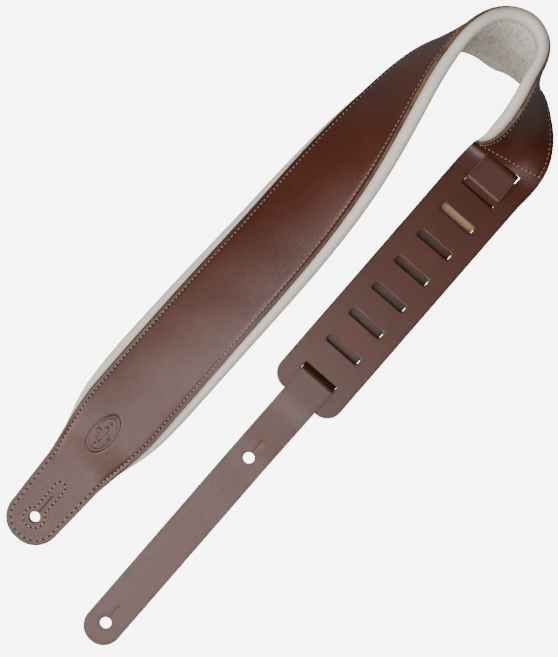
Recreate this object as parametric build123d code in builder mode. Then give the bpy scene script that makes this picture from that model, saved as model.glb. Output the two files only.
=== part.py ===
"""Padded leather guitar strap with a slotted ladder panel and an adjusting tail.

The strap lies on a flat surface at z = 0. The tail and the ladder panel run along +Y at x = 0.
Above the ladder the strap turns on edge, makes a U-turn, and comes back down along the
other leg, which ends in the head tab. The origin is the centre of the tail's pin hole.
"""

import os
from math import cos, radians, sin, tan

from build123d import *

# ---- Leather and padding -------------------------------------------------------------------
LEATHER = 3.2  # thickness of the top leather
TAIL_LEATHER = 2.8  # thickness of the tail strap
BACKING = 2.6  # thickness of the backing under the head tab
LINING = 1.0  # garment leather of the lining
PAD = 9.5  # lined padding, over both skins
PINCHED = 2.3  # lined padding where its ends are sewn flat
RIM = 7.4  # how far the lined padding stands out beyond the leather's edge
TUCK = 9.0  # how far the lining turns in under the leather

# ---- Widths --------------------------------------------------------------------------------
SHOULDER_WIDTH = 68.0  # top leather over the shoulder
PANEL_WIDTH = 63.5  # ladder panel
TAIL_WIDTH = 32.4
HEAD_WIDTH = 46.4  # head tab beside its pin hole
HEAD_WIDENING = 1.6  # how much wider the tab is at its flat part's end
HEAD_TAPER = 1.0  # how much each side of the tab comes in at its tip

# ---- Places along the strap ------------------------------------------------------------------
LEG_X = -100.0  # centre of the leg that carries the head tab
HEAD_TIP_Y = 5.6
HEAD_HOLE_INSET = 22.2  # from the head tab's tip to its pin hole
HEAD_HOLE_Y = HEAD_TIP_Y + HEAD_HOLE_INSET
HEAD_FLAT_Y = 75.0  # the head tab is flat up to here
PANEL_END_Y = 240.6
TAIL_TIP_Y = -18.8
TAIL_HOLE_SPACING = 178.0

# ---- Holes, slots and slits ------------------------------------------------------------------
SLOT_HEIGHT = 7.2
SLOT_PITCH = 28.0
LADDER_SLOTS = 8
ENTRY_SLOT_INSET = 24.2  # from the panel's end to the entry slot
LADDER_START = 30.6  # from the entry slot to the lowest ladder slot
FLAT_BELOW_TOP_SLOT = 36.4  # from the flat panel's end to the top slot
ENTRY_SLOT_Y = PANEL_END_Y + ENTRY_SLOT_INSET  # the tail passes through the panel here
FIRST_SLOT_Y = ENTRY_SLOT_Y + LADDER_START
TOP_SLOT_Y = FIRST_SLOT_Y + SLOT_PITCH * (LADDER_SLOTS - 1)
PANEL_FLAT_Y = TOP_SLOT_Y - FLAT_BELOW_TOP_SLOT
TAIL_HOLE = 9.4
HEAD_HOLE = 8.8
SLIT = 1.2  # width of the slit above a pin hole
SLIT_LENGTH = 18.0  # from the hole's centre to the slit's end, on the tail
HEAD_SLIT_LENGTH = 21.8

# ---- Corners -------------------------------------------------------------------------------
HEAD_CORNER = 21.5
TAIL_CORNER = 15.6
PANEL_CORNER = 14.0

# ---- Clearances ----------------------------------------------------------------------------
GAP = 0.3  # between pieces that lie on each other and move
HOOK_PLAY = 2.0  # between the tail's hook and the rung that it hooks over
ENTRY_PLAY = 0.4  # between the tail and the panel beside the entry slot
RUNG_CORNER = 1.0  # the hook's fold clears the rung's square corners by moving this far
SEAT = 0.2  # between pieces that are sewn together
FOAM_GAP = 0.25
SLOT_LENGTH = TAIL_WIDTH + 2 * GAP  # between the ends' rounded corners

# ---- Stitching -----------------------------------------------------------------------------
THREAD = 0.9
THREAD_HEIGHT = 0.4
THREAD_LIFT = 0.1  # the seams lie this far above the grain
CROSS_SEAM_LIFT = 0.6  # the same for the seam across the strap, where the leather is curved
STITCH_INSET = 4.0
KEYHOLE_RADIUS = 8.7
KEYHOLE_STEM = 4.5  # half the width of the stem
KEYHOLE_TOP = 36.0  # from the hole's centre

# ---- Heights of the leather's back face ------------------------------------------------------
HEAD_Z = BACKING + GAP
PANEL_Z = 2 * TAIL_LEATHER + GAP + HOOK_PLAY  # two layers of the tail lie under the ladder
LEG_Z = PAD + SEAT

# The strap's run from the head tab round the U-turn to the ladder panel: place across, as a share
# of the way from the ladder to the head tab's leg, then y, height of the leather's back face and
# tilt in degrees. The inner edge rises with the tilt, so the strap stands on its outer edge.
RUN = [
    (1, 101, 6.5, 0),
    (1, 118, LEG_Z + 0.2, 0),
    (1, 145, LEG_Z + 0.2, 0),
    (1, 180, LEG_Z + 0.6, 1),
    (0.995, 219, 13.2, 5),
    (0.99, 259, 16.5, 10),
    (0.98, 297, 20, 14.5),
    (0.975, 333, 23.5, 19),
    (0.98, 367, 27, 24),
    (0.99, 400, 31.5, 32),
    (1.005, 431, 36, 42),
    (1.02, 460, 40.5, 53),
    (1.035, 486, 43.5, 62),
    (1.035, 508, 45, 70),
    (1.01, 527, 45, 77),
    (0.96, 542, 45, 86),
    (0.87, 555.5, 44, 98),
    (0.75, 564.5, 43, 109),
    (0.62, 569, 42, 114),
    (0.49, 569, 42, 111),
    (0.38, 564.5, 42, 102),
    (0.295, 557.5, 42, 89),
    (0.225, 549, 41.5, 77),
    (0.165, 540.5, 39, 68),
    (0.105, 531, 35, 59),
    (0.055, 521.5, 30, 49),
    (0.015, 512, 24, 36),
    (-0.008, 502.5, 16.8, 21),
    (-0.012, 493.5, 9.2, 7.5),
    (-0.008, 485, PANEL_Z, 2),
    (0, 476, PANEL_Z, 0.5),
]
HEAD_LEG_END_Y = 145.0  # the leg below this place keeps its length
TURN_Y = 470.0  # the U-turn above this place moves with the top ladder slot
TURN_ABOVE_TOP_SLOT = 77.6  # from the top slot to the U-turn's top
TURN_SHIFT = TOP_SLOT_Y + TURN_ABOVE_TOP_SLOT - max(y for _, y, _, _ in RUN)
STRAIGHT = 12.0  # between the control points of a flat end


def moved_with_turn(y):
    """The place along the strap once the U-turn has moved with the top ladder slot."""
    share = min(1.0, max(0.0, (y - HEAD_LEG_END_Y) / (TURN_Y - HEAD_LEG_END_Y)))
    return y + TURN_SHIFT * share


ROUTE = [(LEG_X, HEAD_FLAT_Y + STRAIGHT * step, HEAD_Z, 0) for step in (-1, 0, 1)]
ROUTE += [(LEG_X * share, moved_with_turn(y), z, tilt) for share, y, z, tilt in RUN]
ROUTE += [(0, PANEL_FLAT_Y + STRAIGHT * step, PANEL_Z, 0) for step in (1, 0, -1)]
ROUTE_END = len(ROUTE) - 3
WIDENING = (50.0, 144.0)  # y between which the leather widens from the head tab to the shoulder
NARROWING = (ROUTE_END - 16, ROUTE_END - 4)  # stretch over which it narrows to the ladder panel
PAD_START = 1.2  # places along the route where the padding starts and ends
PAD_FULL = 5.0
PAD_FADE = ROUTE_END - 8.0
PAD_END = ROUTE_END - 4.1
CROSS_SEAM = PAD_END - 0.5  # the seam across the strap, just inside the padding's end
FOAM_INSET = 0.6  # how far along the route the foam stops short of the lining's ends
SECTIONS_PER_STEP = 2
HEADING_STEP = 0.01  # step along the route that gives its direction


def smooth(value, start, end):
    """Ease from 0 at the start to 1 at the end."""
    share = min(1.0, max(0.0, (value - start) / (end - start)))
    return share * share * (3 - 2 * share)


def on_route(place):
    """Position and tilt at a place along the route, by a uniform cubic B-spline."""
    first = max(0, min(int(place), len(ROUTE) - 4))
    part = place - first
    shares = (
        (1 - part) ** 3 / 6,
        (3 * part**3 - 6 * part**2 + 4) / 6,
        (-3 * part**3 + 3 * part**2 + 3 * part + 1) / 6,
        part**3 / 6,
    )
    near = ROUTE[first : first + 4]
    return [sum(share * point[axis] for share, point in zip(shares, near)) for axis in range(4)]


def across_strap(place):
    """Plane across the strap: x towards the inner edge, y out of the grain side."""
    x, y, z, tilt = on_route(place)
    ahead = Vector(*on_route(min(place + HEADING_STEP, ROUTE_END))[:3])
    behind = Vector(*on_route(max(place - HEADING_STEP, 0))[:3])
    along = (ahead - behind).normalized()
    level = along.cross(Vector(0, 0, 1)).normalized()
    rise = level.cross(along)
    inwards = level * cos(radians(tilt)) + rise * sin(radians(tilt))
    return Plane(origin=(x, y, z), x_dir=inwards, z_dir=-along)


def leather_width(place):
    """Width of the top leather at a place along the route."""
    widened = smooth(on_route(place)[1], *WIDENING) if place < ROUTE_END / 2 else 1.0
    width = head_side_width(widened)
    return width + (PANEL_WIDTH - SHOULDER_WIDTH) * smooth(place, *NARROWING)


def head_side_width(widened):
    """Width between the head tab's and the shoulder's."""
    start = HEAD_WIDTH + HEAD_WIDENING
    return start + (SHOULDER_WIDTH - start) * widened


def pad_share(place):
    """How full the padding is: 0 where its ends are sewn flat, 1 over the shoulder."""
    return smooth(place, PAD_START, PAD_FULL) * (1 - smooth(place, PAD_FADE, PAD_END))


def places(start, end):
    """Places along the route for the sections of a loft, ends included."""
    count = max(2, round((end - start) * SECTIONS_PER_STEP))
    return [start + (end - start) * step / count for step in range(count + 1)]


def slot_places():
    """Centres of the ladder slots, from the lowest to the highest."""
    return [FIRST_SLOT_Y + SLOT_PITCH * number for number in range(LADDER_SLOTS)]


HEAD_SHOULDER_WIDTH = leather_width(0)  # where the flat head tab meets the run
LAP = 0.6  # how far the flat panel runs on into the curved stretch
CUT_HEIGHT = 4 * PANEL_Z  # the slots are cut up to here


# ---- Top leather: head tab, shoulder and ladder panel in one piece ---------------------------
def head_outline(end_y, end_width):
    """Outline of the head tab, from its rounded tip to a straight end."""
    with BuildSketch() as sketch:
        with BuildLine():
            Polyline(
                (LEG_X - HEAD_WIDTH / 2 + HEAD_TAPER, HEAD_TIP_Y),
                (LEG_X + HEAD_WIDTH / 2 - HEAD_TAPER, HEAD_TIP_Y),
                (LEG_X + HEAD_WIDTH / 2, HEAD_HOLE_Y),
                (LEG_X + end_width / 2, end_y),
                (LEG_X - end_width / 2, end_y),
                (LEG_X - HEAD_WIDTH / 2, HEAD_HOLE_Y),
                close=True,
            )
        make_face()
        fillet(sketch.vertices().group_by(Axis.Y)[0], HEAD_CORNER)
    return sketch.sketch


def pin_hole(x, y, hole, slit_length):
    """Button hole with the slit that lets a strap button's head through."""
    with BuildSketch() as sketch:
        with Locations((x, y)):
            Circle(hole / 2)
        with Locations((x, y + slit_length / 2)):
            Rectangle(SLIT, slit_length)
    return sketch.sketch


with BuildPart() as top_leather:
    with BuildSketch(Plane.XY.offset(PANEL_Z)) as panel:
        with Locations((0, (PANEL_END_Y + PANEL_FLAT_Y + LAP) / 2)):
            Rectangle(PANEL_WIDTH, PANEL_FLAT_Y + LAP - PANEL_END_Y)
        fillet(panel.vertices().group_by(Axis.Y)[0], PANEL_CORNER)
    extrude(amount=LEATHER)
    for place in places(0, ROUTE_END):
        with BuildSketch(across_strap(place)):
            with Locations((0, LEATHER / 2)):
                Rectangle(leather_width(place), LEATHER)
    loft()
    with BuildSketch():
        with Locations(*[(0, y) for y in [ENTRY_SLOT_Y] + slot_places()]):
            SlotOverall(SLOT_LENGTH + SLOT_HEIGHT / 2, SLOT_HEIGHT)
    extrude(amount=CUT_HEIGHT, mode=Mode.SUBTRACT)
    with BuildSketch(Plane.XY.offset(HEAD_Z)):
        add(head_outline(HEAD_FLAT_Y, HEAD_SHOULDER_WIDTH))
        add(pin_hole(LEG_X, HEAD_HOLE_Y, HEAD_HOLE, HEAD_SLIT_LENGTH), mode=Mode.SUBTRACT)
    extrude(amount=LEATHER)

# ---- Backing sewn under the head tab ---------------------------------------------------------
with BuildPart() as head_backing:
    with BuildSketch():
        add(head_outline(HEAD_FLAT_Y, HEAD_SHOULDER_WIDTH))
        add(pin_hole(LEG_X, HEAD_HOLE_Y, HEAD_HOLE, HEAD_SLIT_LENGTH), mode=Mode.SUBTRACT)
    extrude(amount=BACKING)


# ---- Padding: foam core wrapped in the lining ------------------------------------------------
def pad_section(place, skin):
    """Rounded section of the padding on the leather's back, inside a skin of this thickness."""
    full = pad_share(place)
    thickness = PINCHED + (PAD - PINCHED) * full
    width = leather_width(place) - 2 * SEAT + 2 * RIM * full
    with BuildSketch(across_strap(place)) as section:
        with Locations((0, -SEAT - thickness / 2)):
            SlotOverall(width - 2 * skin, thickness - 2 * skin)
    return section.sketch


def gap_section(place):
    """Section of the opening between the lining's two turned-in edges."""
    with BuildSketch(across_strap(place)) as section:
        with Locations((0, -SEAT - LINING / 2)):
            Rectangle(leather_width(place) - 2 * TUCK, 2 * LINING)
    return section.sketch


FOAM_RUN = places(PAD_START + FOAM_INSET, PAD_END - FOAM_INSET)

with BuildPart() as lining:
    loft([pad_section(place, 0) for place in places(PAD_START, PAD_END)])
    loft([pad_section(place, LINING) for place in FOAM_RUN], mode=Mode.SUBTRACT)
    loft([gap_section(place) for place in FOAM_RUN], mode=Mode.SUBTRACT)

with BuildPart() as foam_core:
    loft([pad_section(place, LINING + FOAM_GAP) for place in FOAM_RUN[1:-1]])


# ---- Tail: one strap that hooks through the ladder and its own slit --------------------------
# The tail goes up behind the ladder, out through the second slot, over the top rung and back in
# through the top slot. Its slit end lies behind the ladder, and the strap runs through its slit.
HALF_TAIL = TAIL_LEATHER / 2
PANEL_MIDDLE_Z = PANEL_Z + LEATHER / 2
STEEP = tan(radians(57))  # slope at which the tail passes through a slot
PASS_RISE = LEATHER / 2 + HOOK_PLAY + HALF_TAIL  # from the panel's middle to the tail's, outside it
PASS_RUN = PASS_RISE / STEEP
ENTRY_RISE = LEATHER / 2 + ENTRY_PLAY + HALF_TAIL  # the same at the entry slot
ENTRY_RUN = ENTRY_RISE / STEEP
LOWER_SLOT_Y = slot_places()[-2]
FOLD = LEATHER / 2 + HOOK_PLAY  # inner radius of the fold round the top rung
FOLD_Y = TOP_SLOT_Y - SLOT_HEIGHT / 2 - RUNG_CORNER
SLIT_END_REACH = 9.0  # how far the slit end reaches below the third slot from the top
SLIT_END_Y = slot_places()[-3] - SLIT_END_REACH
SLIT_CROSSING_Y = LOWER_SLOT_Y - PASS_RUN
WINDOW = 12.0  # length of the opening that the strap runs through
BULGE = 6.0  # how far each half of the slit end stands out beside the strap
BULGE_LENGTH = 40.0
FOLD_LAP = 2.0  # the fold runs on this far into the flat slit end
RAMP_START = 10.0  # below the panel's end the tail starts down its ramp to the surface
RAMP = 52.0  # length of the ramp
RAMP_END_Y = PANEL_END_Y - RAMP_START
LANDING = 24.0  # beyond the entry slot the tail reaches the surface again
TAIL_RUN = [
    (TAIL_TIP_Y, HALF_TAIL),
    (RAMP_END_Y - RAMP, HALF_TAIL),
    (RAMP_END_Y, PANEL_MIDDLE_Z + ENTRY_RISE),
    (ENTRY_SLOT_Y - ENTRY_RUN, PANEL_MIDDLE_Z + ENTRY_RISE),
    (ENTRY_SLOT_Y + ENTRY_RUN, PANEL_MIDDLE_Z - ENTRY_RISE),
    (ENTRY_SLOT_Y + LANDING, HALF_TAIL),
    (LOWER_SLOT_Y - (PANEL_MIDDLE_Z - HALF_TAIL) / STEEP, HALF_TAIL),
    (LOWER_SLOT_Y + PASS_RUN, PANEL_MIDDLE_Z + PASS_RISE),
    (FOLD_Y, PANEL_MIDDLE_Z + PASS_RISE),
]
TAIL_BENDS = [150, 90, 2.2, 2.2, 60, 2.2, 2.2]  # radius at each corner of the run

with BuildPart() as tail_strap:
    with BuildSketch(Plane.YZ):
        with BuildLine() as run:
            FilletPolyline(*TAIL_RUN, radius=TAIL_BENDS)
            CenterArc((FOLD_Y, PANEL_MIDDLE_Z), FOLD + HALF_TAIL, 90, -180)
            Line((FOLD_Y, PANEL_MIDDLE_Z - PASS_RISE), (FOLD_Y - FOLD_LAP, PANEL_MIDDLE_Z - PASS_RISE))
        trace(line_width=TAIL_LEATHER)
    extrude(amount=TAIL_WIDTH / 2, both=True)
    with BuildSketch(Plane.XY.offset(PANEL_MIDDLE_Z - PASS_RISE - HALF_TAIL)):
        with Locations((0, (SLIT_END_Y + FOLD_Y) / 2)):
            Rectangle(TAIL_WIDTH, FOLD_Y - SLIT_END_Y)
        with Locations((0, SLIT_CROSSING_Y)):
            Ellipse(TAIL_WIDTH / 2 + GAP + BULGE, BULGE_LENGTH / 2)
            Rectangle(TAIL_WIDTH + 2 * GAP, WINDOW, mode=Mode.SUBTRACT)
    extrude(amount=TAIL_LEATHER)
    fillet(tail_strap.edges().filter_by(Axis.Z).group_by(Axis.Y)[0], TAIL_CORNER)
    with BuildSketch():
        add(pin_hole(0, 0, TAIL_HOLE, SLIT_LENGTH))
        add(pin_hole(0, TAIL_HOLE_SPACING, TAIL_HOLE, SLIT_LENGTH))
    extrude(amount=PANEL_Z, mode=Mode.SUBTRACT)


# ---- Stitching -------------------------------------------------------------------------------
def edge_stitching(side):
    """Seam along one edge of the leather, from the head tab to the padding's end."""
    with BuildPart() as seam:
        for place in places(0, PAD_END):
            offset_from_middle = side * (leather_width(place) / 2 - STITCH_INSET)
            with BuildSketch(across_strap(place)):
                with Locations((offset_from_middle, LEATHER + THREAD_LIFT + THREAD_HEIGHT / 2)):
                    Rectangle(THREAD, THREAD_HEIGHT)
        loft()
    return seam


HEAD_SEAM_Z = HEAD_Z + LEATHER + THREAD_LIFT

inner_edge_stitching = edge_stitching(1)
outer_edge_stitching = edge_stitching(-1)

with BuildPart() as head_end_stitching:
    with BuildSketch(Plane.XY.offset(HEAD_SEAM_Z)):
        add(head_outline(HEAD_FLAT_Y, HEAD_SHOULDER_WIDTH))
        offset(amount=-STITCH_INSET + THREAD / 2, mode=Mode.REPLACE)
        offset(amount=-THREAD, mode=Mode.SUBTRACT)
        with Locations((LEG_X, HEAD_FLAT_Y)):
            Rectangle(2 * HEAD_WIDTH, 4 * STITCH_INSET, mode=Mode.SUBTRACT)
    extrude(amount=THREAD_HEIGHT)

with BuildPart() as keyhole_stitching:
    with BuildSketch(Plane.XY.offset(HEAD_SEAM_Z)):
        with Locations((LEG_X, HEAD_HOLE_Y)):
            Circle(KEYHOLE_RADIUS + THREAD / 2)
            with Locations((0, KEYHOLE_TOP / 2)):
                Rectangle(2 * KEYHOLE_STEM + THREAD, KEYHOLE_TOP + THREAD)
        offset(amount=-THREAD, mode=Mode.SUBTRACT)
    extrude(amount=THREAD_HEIGHT)

with BuildPart() as pad_end_stitching:
    with BuildSketch(across_strap(CROSS_SEAM)):
        with Locations((0, LEATHER + CROSS_SEAM_LIFT + THREAD_HEIGHT / 2)):
            Rectangle(leather_width(CROSS_SEAM) - 2 * (STITCH_INSET + THREAD), THREAD_HEIGHT)
    extrude(amount=THREAD / 2, both=True)


# ---- Hand over ---------------------------------------------------------------------------------
PIECES = {
    "top_leather": top_leather,
    "head_backing": head_backing,
    "lining": lining,
    "foam_core": foam_core,
    "tail_strap": tail_strap,
    "inner_edge_stitching": inner_edge_stitching,
    "outer_edge_stitching": outer_edge_stitching,
    "head_end_stitching": head_end_stitching,
    "keyhole_stitching": keyhole_stitching,
    "pad_end_stitching": pad_end_stitching,
}
os.makedirs("parts", exist_ok=True)
for name, piece in PIECES.items():
    piece.part.label = name
    export_step(piece.part, f"parts/{name}.step")
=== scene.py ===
"""Padded leather guitar strap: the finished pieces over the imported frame.

The strap lies on the floor. Its tail and ladder panel run along +Y, it turns on edge round a
U-turn, and the other leg comes back to the head tab. Lengths are in metres.
"""

import math

import bmesh
import bpy
import numpy as np
from mathutils import Matrix, Vector


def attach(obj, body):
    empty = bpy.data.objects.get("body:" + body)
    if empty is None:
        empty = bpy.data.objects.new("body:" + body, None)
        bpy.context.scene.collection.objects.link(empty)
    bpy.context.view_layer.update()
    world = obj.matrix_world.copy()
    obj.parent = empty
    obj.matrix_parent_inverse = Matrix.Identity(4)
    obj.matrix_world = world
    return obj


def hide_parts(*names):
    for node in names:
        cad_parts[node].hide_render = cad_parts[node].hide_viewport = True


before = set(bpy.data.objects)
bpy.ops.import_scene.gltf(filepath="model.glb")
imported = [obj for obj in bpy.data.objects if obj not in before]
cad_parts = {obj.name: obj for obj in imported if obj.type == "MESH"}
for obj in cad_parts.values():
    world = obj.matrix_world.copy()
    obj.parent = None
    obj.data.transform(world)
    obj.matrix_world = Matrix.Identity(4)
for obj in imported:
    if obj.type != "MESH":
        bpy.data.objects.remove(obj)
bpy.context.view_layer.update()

bl_info = {
    "name": "Padded Strap Maker",
    "version": (1, 0, 0),
    "blender": (4, 5, 0),
    "location": "View3D > Sidebar > Strap",
    "description": "Makes the leathers, padding and seams of a padded instrument strap",
    "category": "Object",
}

MM = 0.001
STRAP_BODY = "strap"
TAIL_BODY = "tail"

# The strap's run from the head tab round the U-turn to the ladder panel: place across, as a share
# of the way from the ladder to the head tab's leg, then y, height of the leather's back and tilt.
RUN = [
    (1, 0.101, 0.0065, 0),
    (1, 0.118, 0.0099, 0),
    (1, 0.145, 0.0099, 0),
    (1, 0.180, 0.0103, 1),
    (0.995, 0.219, 0.0132, 5),
    (0.99, 0.259, 0.0165, 10),
    (0.98, 0.297, 0.020, 14.5),
    (0.975, 0.333, 0.0235, 19),
    (0.98, 0.367, 0.027, 24),
    (0.99, 0.400, 0.0315, 32),
    (1.005, 0.431, 0.036, 42),
    (1.02, 0.460, 0.0405, 53),
    (1.035, 0.486, 0.0435, 62),
    (1.035, 0.508, 0.045, 70),
    (1.01, 0.527, 0.045, 77),
    (0.96, 0.542, 0.045, 86),
    (0.87, 0.5555, 0.044, 98),
    (0.75, 0.5645, 0.043, 109),
    (0.62, 0.569, 0.042, 114),
    (0.49, 0.569, 0.042, 111),
    (0.38, 0.5645, 0.042, 102),
    (0.295, 0.5575, 0.042, 89),
    (0.225, 0.549, 0.0415, 77),
    (0.165, 0.5405, 0.039, 68),
    (0.105, 0.531, 0.035, 59),
    (0.055, 0.5215, 0.030, 49),
    (0.015, 0.512, 0.024, 36),
    (-0.008, 0.5025, 0.0168, 21),
    (-0.012, 0.4935, 0.0092, 7.5),
    (-0.008, 0.485, 0.0079, 2),
    (0, 0.476, 0.0079, 0.5),
]


def length(name, default, description):
    """A length that a user may change."""
    return bpy.props.FloatProperty(
        name=name, default=default, description=description, min=0.0, unit="LENGTH", subtype="DISTANCE",
        precision=4,
    )


def colour(name, default, description):
    """A colour that a user may change."""
    return bpy.props.FloatVectorProperty(
        name=name, default=default, description=description, size=3, min=0.0, max=1.0, subtype="COLOR",
    )


class StrapSizes(bpy.types.PropertyGroup):
    leather: length("Top leather", 0.0032, "Thickness of the top leather")
    tail_leather: length("Tail leather", 0.0028, "Thickness of the tail strap")
    backing: length("Head backing", 0.0026, "Thickness of the backing under the head tab")
    pad: length("Padding", 0.0095, "Thickness of the lined padding")
    pinched: length("Sewn ends", 0.0023, "Thickness of the padding where its ends are sewn flat")
    rim: length("Rim", 0.0074, "How far the padding stands out beyond the leather's edge")
    tuck: length("Tuck", 0.009, "How far the lining turns in under the leather")
    shoulder_width: length("Shoulder width", 0.068, "Width of the top leather over the shoulder")
    panel_width: length("Panel width", 0.0635, "Width of the ladder panel")
    tail_width: length("Tail width", 0.0324, "Width of the tail strap")
    head_width: length("Head width", 0.0464, "Width of the head tab beside its pin hole")
    edge_round: length("Edge round", 0.0006, "Radius of the leather's burnished edges")
    crown: length("Crown", 0.0012, "How far the padding pushes the leather up between its seams")
    crease: length("Crease", 0.0032, "How deep the edge seams pull the lining in")
    pitch: length("Stitch pitch", 0.0039, "Distance from one stitch to the next")
    inset: length("Seam inset", 0.004, "Distance from the leather's edge to the seam")
    thread: length("Thread", 0.00068, "Thickness of the thread")
    stamp_depth: length("Stamp depth", 0.00035, "Depth of the blind stamp")


class StrapColours(bpy.types.PropertyGroup):
    leather: colour("Top leather", (0.088, 0.0215, 0.0105), "Grain side of the top leather")
    leather_dark: colour("Top leather, shade", (0.066, 0.0145, 0.0065), "Darker parts of the grain")
    tail: colour("Tail leather", (0.105, 0.038, 0.026), "Grain side of the tail")
    cut_edge: colour("Burnished edge", (0.05, 0.022, 0.013), "Cut edges of the leather")
    flesh: colour("Flesh side", (0.46, 0.30, 0.16), "Back of the leather")
    lining: colour("Lining", (0.88, 0.78, 0.68), "Garment leather of the lining")
    thread: colour("Thread", (0.62, 0.40, 0.33), "Thread of the seams")
    foam: colour("Foam", (0.75, 0.72, 0.66), "Foam in the padding")
    floor: colour("Floor", (0.27, 0.27, 0.27), "Floor the strap lies on")


# ---- The strap's run -----------------------------------------------------------------------
LEG_X = -0.1
HEAD_TIP_Y = 0.0056
HEAD_HOLE_Y = 0.0278
HEAD_FLAT_Y = 0.075
PANEL_END_Y = 0.2406
ENTRY_SLOT_Y = 0.2648
FIRST_SLOT_Y = 0.2954
SLOT_PITCH = 0.028
SLOTS = 8
TOP_SLOT_Y = FIRST_SLOT_Y + SLOT_PITCH * (SLOTS - 1)
PANEL_FLAT_Y = TOP_SLOT_Y - 0.0364
SLOT_HEIGHT = 0.0072
HEAD_HOLE = 0.0044  # radius of the head tab's pin hole
TAIL_HOLE = 0.0047
HEAD_SLIT_LENGTH = 0.0218  # from the hole's centre to the slit's end
TAIL_SLIT_LENGTH = 0.018
HEAD_CORNER = 0.0215
TAIL_CORNER = 0.0156
PANEL_CORNER = 0.014
HEAD_TAPER = 0.001  # how much each side of the head tab comes in at its tip
HEAD_WIDENING = 0.0016  # how much wider the tab is where its flat part ends
HEAD_Z = 0.0029
PANEL_Z = 0.0079
STRAIGHT = 0.012
HEAD_HEIGHTS = [(LEG_X, HEAD_FLAT_Y + STRAIGHT * step, HEAD_Z, 0) for step in (-1, 0, 1)]
PANEL_HEIGHTS = [(0, PANEL_FLAT_Y + STRAIGHT * step, PANEL_Z, 0) for step in (1, 0, -1)]
CURVED = [(LEG_X * share, y, z, tilt) for share, y, z, tilt in RUN]
ROUTE = np.array(HEAD_HEIGHTS + CURVED + PANEL_HEIGHTS)
ROUTE_END = len(ROUTE) - 3
WIDENING = (0.05, 0.144)
NARROWING = (ROUTE_END - 16, ROUTE_END - 4)
PAD_START = 1.2  # places along the route where the padding starts and ends
PAD_FULL = 5.0
PAD_FADE = ROUTE_END - 8.0
PAD_END = ROUTE_END - 4.1
CROSS_SEAM = PAD_END - 0.5
SEAT = 0.0002


def eased(value, start, end):
    """From 0 at the start to 1 at the end."""
    share = np.clip((np.asarray(value, float) - start) / (end - start), 0, 1)
    return share * share * (3 - 2 * share)


def wander(a, b, seed):
    """Slow, uneven waves over a surface, from -1 to 1, the same on each run."""
    total = np.zeros(np.broadcast(a, b).shape)
    for turn in range(5):
        angle = seed * 1.7 + turn * 2.4
        pace = 1.0 + 0.37 * turn
        total += np.sin(pace * (a * math.cos(angle) + b * math.sin(angle)) + seed * 3.1 + turn * 1.3)
    return total / 5


class Run:
    """A band's run: where its middle is, and which way it faces, by distance along it."""

    def __init__(self, points, inwards, half, place):
        self.points = points
        steps = np.linalg.norm(np.diff(points, axis=0), axis=1)
        self.s = np.concatenate([[0.0], np.cumsum(steps)])
        ahead = np.gradient(points, self.s, axis=0)
        self.ahead = ahead / np.linalg.norm(ahead, axis=1)[:, None]
        self.inwards = inwards(self.ahead)
        self.up = np.cross(self.inwards, self.ahead)
        self.half = half
        self.place = place
        turning = np.linalg.norm(np.gradient(self.ahead, self.s, axis=0), axis=1)
        self.turning = np.convolve(turning, np.ones(31) / 31, mode="same")

    def read(self, table, s):
        """Values of a table at these distances."""
        if table.ndim == 1:
            return np.interp(s, self.s, table)
        return np.stack([np.interp(s, self.s, table[:, axis]) for axis in range(3)], axis=-1)

    def where(self, place):
        """Distance along the run at a place of the route."""
        return float(np.interp(place, self.place, self.s))

    def bent(self, w, s, n):
        """Points at these distances inwards, along and out of the grain side."""
        middle = self.read(self.points, s)
        return (
            middle
            + self.read(self.inwards, s) * np.asarray(w)[..., None]
            + self.read(self.up, s) * np.asarray(n)[..., None]
        )


def strap_run(sizes):
    """Run of the strap, from the head tab's tip round the U-turn to the ladder panel's end."""
    head_y = np.linspace(HEAD_TIP_Y, HEAD_FLAT_Y, 60)[:-1]
    panel_y = np.linspace(PANEL_FLAT_Y, PANEL_END_Y, 140)[1:]
    place = np.linspace(0, ROUTE_END, ROUTE_END * 40 + 1)
    first = np.minimum(place.astype(int), ROUTE_END - 1)
    part = (place - first)[:, None]
    route = (
        ROUTE[first] * (1 - part) ** 3
        + ROUTE[first + 1] * (3 * part**3 - 6 * part**2 + 4)
        + ROUTE[first + 2] * (-3 * part**3 + 3 * part**2 + 3 * part + 1)
        + ROUTE[first + 3] * part**3
    ) / 6
    head = np.stack([head_y * 0 + LEG_X, head_y, head_y * 0 + HEAD_Z, head_y * 0], axis=1)
    panel = np.stack([panel_y * 0, panel_y, panel_y * 0 + PANEL_Z, panel_y * 0], axis=1)
    whole = np.concatenate([head, route, panel])
    places = np.concatenate([head_y * 0 + np.linspace(-2, -0.01, 59), place, panel_y * 0 + ROUTE_END
                             + np.linspace(0.01, 10, 139)])
    tab = sizes.head_width + HEAD_WIDENING
    widened = np.where(places < ROUTE_END / 2, eased(whole[:, 1], *WIDENING), 1.0)
    width = tab + (sizes.shoulder_width - tab) * widened
    width += (sizes.panel_width - sizes.shoulder_width) * eased(places, *NARROWING)
    at_flat = width[59]
    tapered = np.interp(whole[:, 1], [HEAD_TIP_Y, HEAD_HOLE_Y, HEAD_FLAT_Y],
                        [sizes.head_width, sizes.head_width, at_flat])
    width = np.where(places < 0, tapered, width)
    tilt = np.radians(whole[:, 3])[:, None]

    def inwards(ahead):
        level = np.cross(ahead, (0, 0, 1))
        level /= np.linalg.norm(level, axis=1)[:, None]
        return level * np.cos(tilt) + np.cross(level, ahead) * np.sin(tilt)

    return Run(whole[:, :3], inwards, width / 2, places)


def fullness(run, s):
    """How full the padding is: 0 where its ends are sewn flat, 1 over the shoulder."""
    place = run.read(run.place, s)
    return eased(place, PAD_START, PAD_FULL) * (1 - eased(place, PAD_FADE, PAD_END))


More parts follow.
